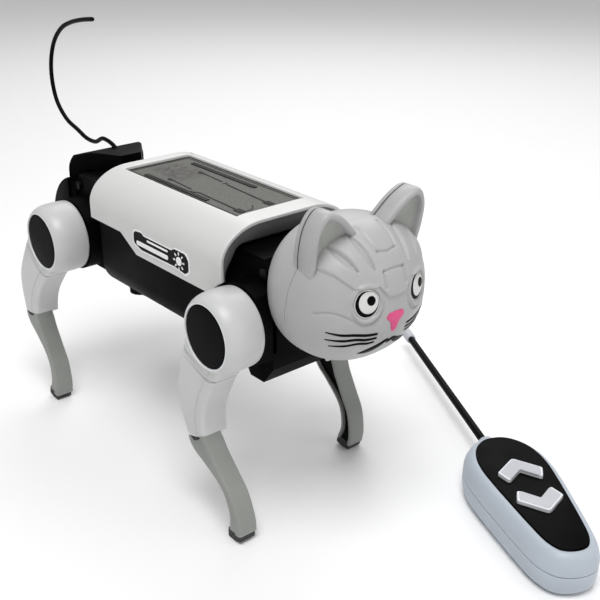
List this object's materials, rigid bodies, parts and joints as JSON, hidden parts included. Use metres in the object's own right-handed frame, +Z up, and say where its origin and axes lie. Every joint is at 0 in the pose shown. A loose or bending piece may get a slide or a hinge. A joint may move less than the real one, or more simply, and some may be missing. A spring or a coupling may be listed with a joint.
{
  "type": "solar robot kit",
  "caption": "Four-legged walking toy robot with a cat head, solar panel back, geared leg drives, curled wire tail antenna and a handheld remote control.",
  "frame": {"origin": "on the surface the robot stands on, midway between its four hip axes", "axes": "+X from tail to head, +Y to the left of the robot, +Z up"},
  "size_m": [0.3227, 0.1837, 0.1838],
  "materials": {
    "white_cover_plastic": "satin moulded ABS",
    "light_grey_plastic": "satin moulded ABS",
    "shin_grey_plastic": "satin moulded ABS",
    "head_grey_plastic": "satin moulded ABS with printed face",
    "black_plastic": "satin moulded ABS",
    "black_gloss_plastic": "gloss",
    "foot_rubber": "matt",
    "gear_plastic": "natural acetal",
    "motor_can": "zinc plated",
    "screw_steel": "black zinc",
    "badge_print": "printed label",
    "solar_cell": "speckled",
    "cell_jacket": "gloss",
    "board_laminate": "solder resist",
    "black_wire": "satin",
    "remote_grey_plastic": "satin moulded ABS",
    "button_grey_plastic": "satin"
  },
  "bodies": {
    "torso": {"front_gearbox_left_case": "black_plastic", "front_gearbox_right_case": "black_plastic", "front_motor": "motor_can", "rear_gearbox_left_case": "black_plastic", "rear_gearbox_right_case": "black_plastic", "rear_motor": "motor_can", "gearbox_screws": "screw_steel", "top_cover": "white_cover_plastic", "side_badges": "badge_print", "solar_panel": "solar_cell", "belly_shell": "black_plastic", "battery_door": "black_plastic", "battery_cells": "cell_jacket", "circuit_board": "board_laminate", "tail_antenna": "black_wire", "tail_housing": "black_plastic", "neck_mount": "black_plastic"},
    "front_left_leg": {"front_left_thigh_inner": "black_plastic", "front_left_thigh_outer": "light_grey_plastic", "front_left_shin_inner": "black_plastic", "front_left_shin_outer": "shin_grey_plastic", "front_left_foot_pad": "foot_rubber", "front_left_hip_cap": "black_gloss_plastic"},
    "front_right_leg": {"front_right_thigh_inner": "black_plastic", "front_right_thigh_outer": "light_grey_plastic", "front_right_shin_inner": "black_plastic", "front_right_shin_outer": "shin_grey_plastic", "front_right_foot_pad": "foot_rubber", "front_right_hip_cap": "black_gloss_plastic"},
    "rear_left_leg": {"rear_left_thigh_inner": "black_plastic", "rear_left_thigh_outer": "light_grey_plastic", "rear_left_shin_inner": "black_plastic", "rear_left_shin_outer": "shin_grey_plastic", "rear_left_foot_pad": "foot_rubber", "rear_left_hip_cap": "black_gloss_plastic"},
    "rear_right_leg": {"rear_right_thigh_inner": "black_plastic", "rear_right_thigh_outer": "light_grey_plastic", "rear_right_shin_inner": "black_plastic", "rear_right_shin_outer": "shin_grey_plastic", "rear_right_foot_pad": "foot_rubber", "rear_right_hip_cap": "black_gloss_plastic"},
    "front_crank": {"front_crankshaft": "gear_plastic", "front_cranks": "gear_plastic"},
    "front_reduction": {"front_reduction_gear": "gear_plastic"},
    "front_pinion": {"front_motor_pinion": "gear_plastic"},
    "rear_crank": {"rear_crankshaft": "gear_plastic", "rear_cranks": "gear_plastic"},
    "rear_reduction": {"rear_reduction_gear": "gear_plastic"},
    "rear_pinion": {"rear_motor_pinion": "gear_plastic"},
    "power_switch": {"power_knob": "black_gloss_plastic"},
    "head": {"face_shell": "head_grey_plastic", "head_back_shell": "head_grey_plastic", "neck_socket": "head_grey_plastic"},
    "remote": {"remote_back_shell": "remote_grey_plastic", "remote_top_shell": "remote_grey_plastic", "remote_face_plate": "black_gloss_plastic", "remote_antenna": "black_wire", "remote_antenna_tip": "button_grey_plastic"},
    "forward_button": {"remote_forward_button": "button_grey_plastic"},
    "reverse_button": {"remote_reverse_button": "button_grey_plastic"}
  },
  "joints": [
    {"name": "front_right_hip", "type": "hinge", "parent": "torso", "child": "front_right_leg", "pos_m": [0.065, 0, 0.0896], "axis": [0, 1, 0], "range_deg": [-15.3, 30.5]},
    {"name": "front_left_hip", "type": "hinge", "parent": "torso", "child": "front_left_leg", "pos_m": [0.065, 0, 0.0896], "axis": [0, 1, 0], "range_deg": [-30.5, 15.3]},
    {"name": "rear_left_hip", "type": "hinge", "parent": "torso", "child": "rear_left_leg", "pos_m": [-0.065, 0, 0.0896], "axis": [0, 1, 0], "range_deg": [-15.3, 30.5]},
    {"name": "rear_right_hip", "type": "hinge", "parent": "torso", "child": "rear_right_leg", "pos_m": [-0.065, 0, 0.0896], "axis": [0, 1, 0], "range_deg": [-30.5, 15.3]},
    {"name": "front_crank_turn", "type": "hinge", "parent": "torso", "child": "front_crank", "pos_m": [0.056, 0, 0.0896], "axis": [0, 1, 0], "continuous": true},
    {"name": "front_reduction_turn", "type": "hinge", "parent": "torso", "child": "front_reduction", "pos_m": [0.063, 0, 0.10055], "axis": [0, 1, 0], "continuous": true},
    {"name": "front_pinion_turn", "type": "hinge", "parent": "torso", "child": "front_pinion", "pos_m": [0.05258, 0, 0.10183], "axis": [0, 1, 0], "continuous": true},
    {"name": "rear_crank_turn", "type": "hinge", "parent": "torso", "child": "rear_crank", "pos_m": [-0.056, 0, 0.0896], "axis": [0, 1, 0], "continuous": true},
    {"name": "rear_reduction_turn", "type": "hinge", "parent": "torso", "child": "rear_reduction", "pos_m": [-0.063, 0, 0.10055], "axis": [0, 1, 0], "continuous": true},
    {"name": "rear_pinion_turn", "type": "hinge", "parent": "torso", "child": "rear_pinion", "pos_m": [-0.05258, 0, 0.10183], "axis": [0, 1, 0], "continuous": true},
    {"name": "switch_turn", "type": "hinge", "parent": "torso", "child": "power_switch", "pos_m": [-0.0313, -0.0158, 0.07], "axis": [0, 0, 1], "range_deg": [0, 90]},
    {"name": "head_pull", "type": "slide", "parent": "torso", "child": "head", "axis": [1, 0, 0], "range_m": [0, 0.03]},
    {"name": "remote_lift", "type": "slide", "parent": "torso", "child": "remote", "axis": [0, 0, 1], "range_m": [0, 0.15]},
    {"name": "forward_press", "type": "slide", "parent": "remote", "child": "forward_button", "axis": [0, 0, 1], "range_m": [-0.001, 0], "stiffness_N_per_m": 250, "springref_m": 0.0006},
    {"name": "reverse_press", "type": "slide", "parent": "remote", "child": "reverse_button", "axis": [0, 0, 1], "range_m": [-0.001, 0], "stiffness_N_per_m": 250, "springref_m": 0.0006}
  ],
  "couplings": [
    {"joint": "front_left_hip", "follows": "front_right_hip", "ratio": -1},
    {"joint": "rear_right_hip", "follows": "rear_left_hip", "ratio": -1},
    {"joint": "front_reduction_turn", "follows": "front_crank_turn", "ratio": -3.3333},
    {"joint": "front_pinion_turn", "follows": "front_crank_turn", "ratio": 10.667},
    {"joint": "rear_reduction_turn", "follows": "rear_crank_turn", "ratio": -3.3333},
    {"joint": "rear_pinion_turn", "follows": "rear_crank_turn", "ratio": 10.667}
  ]
}
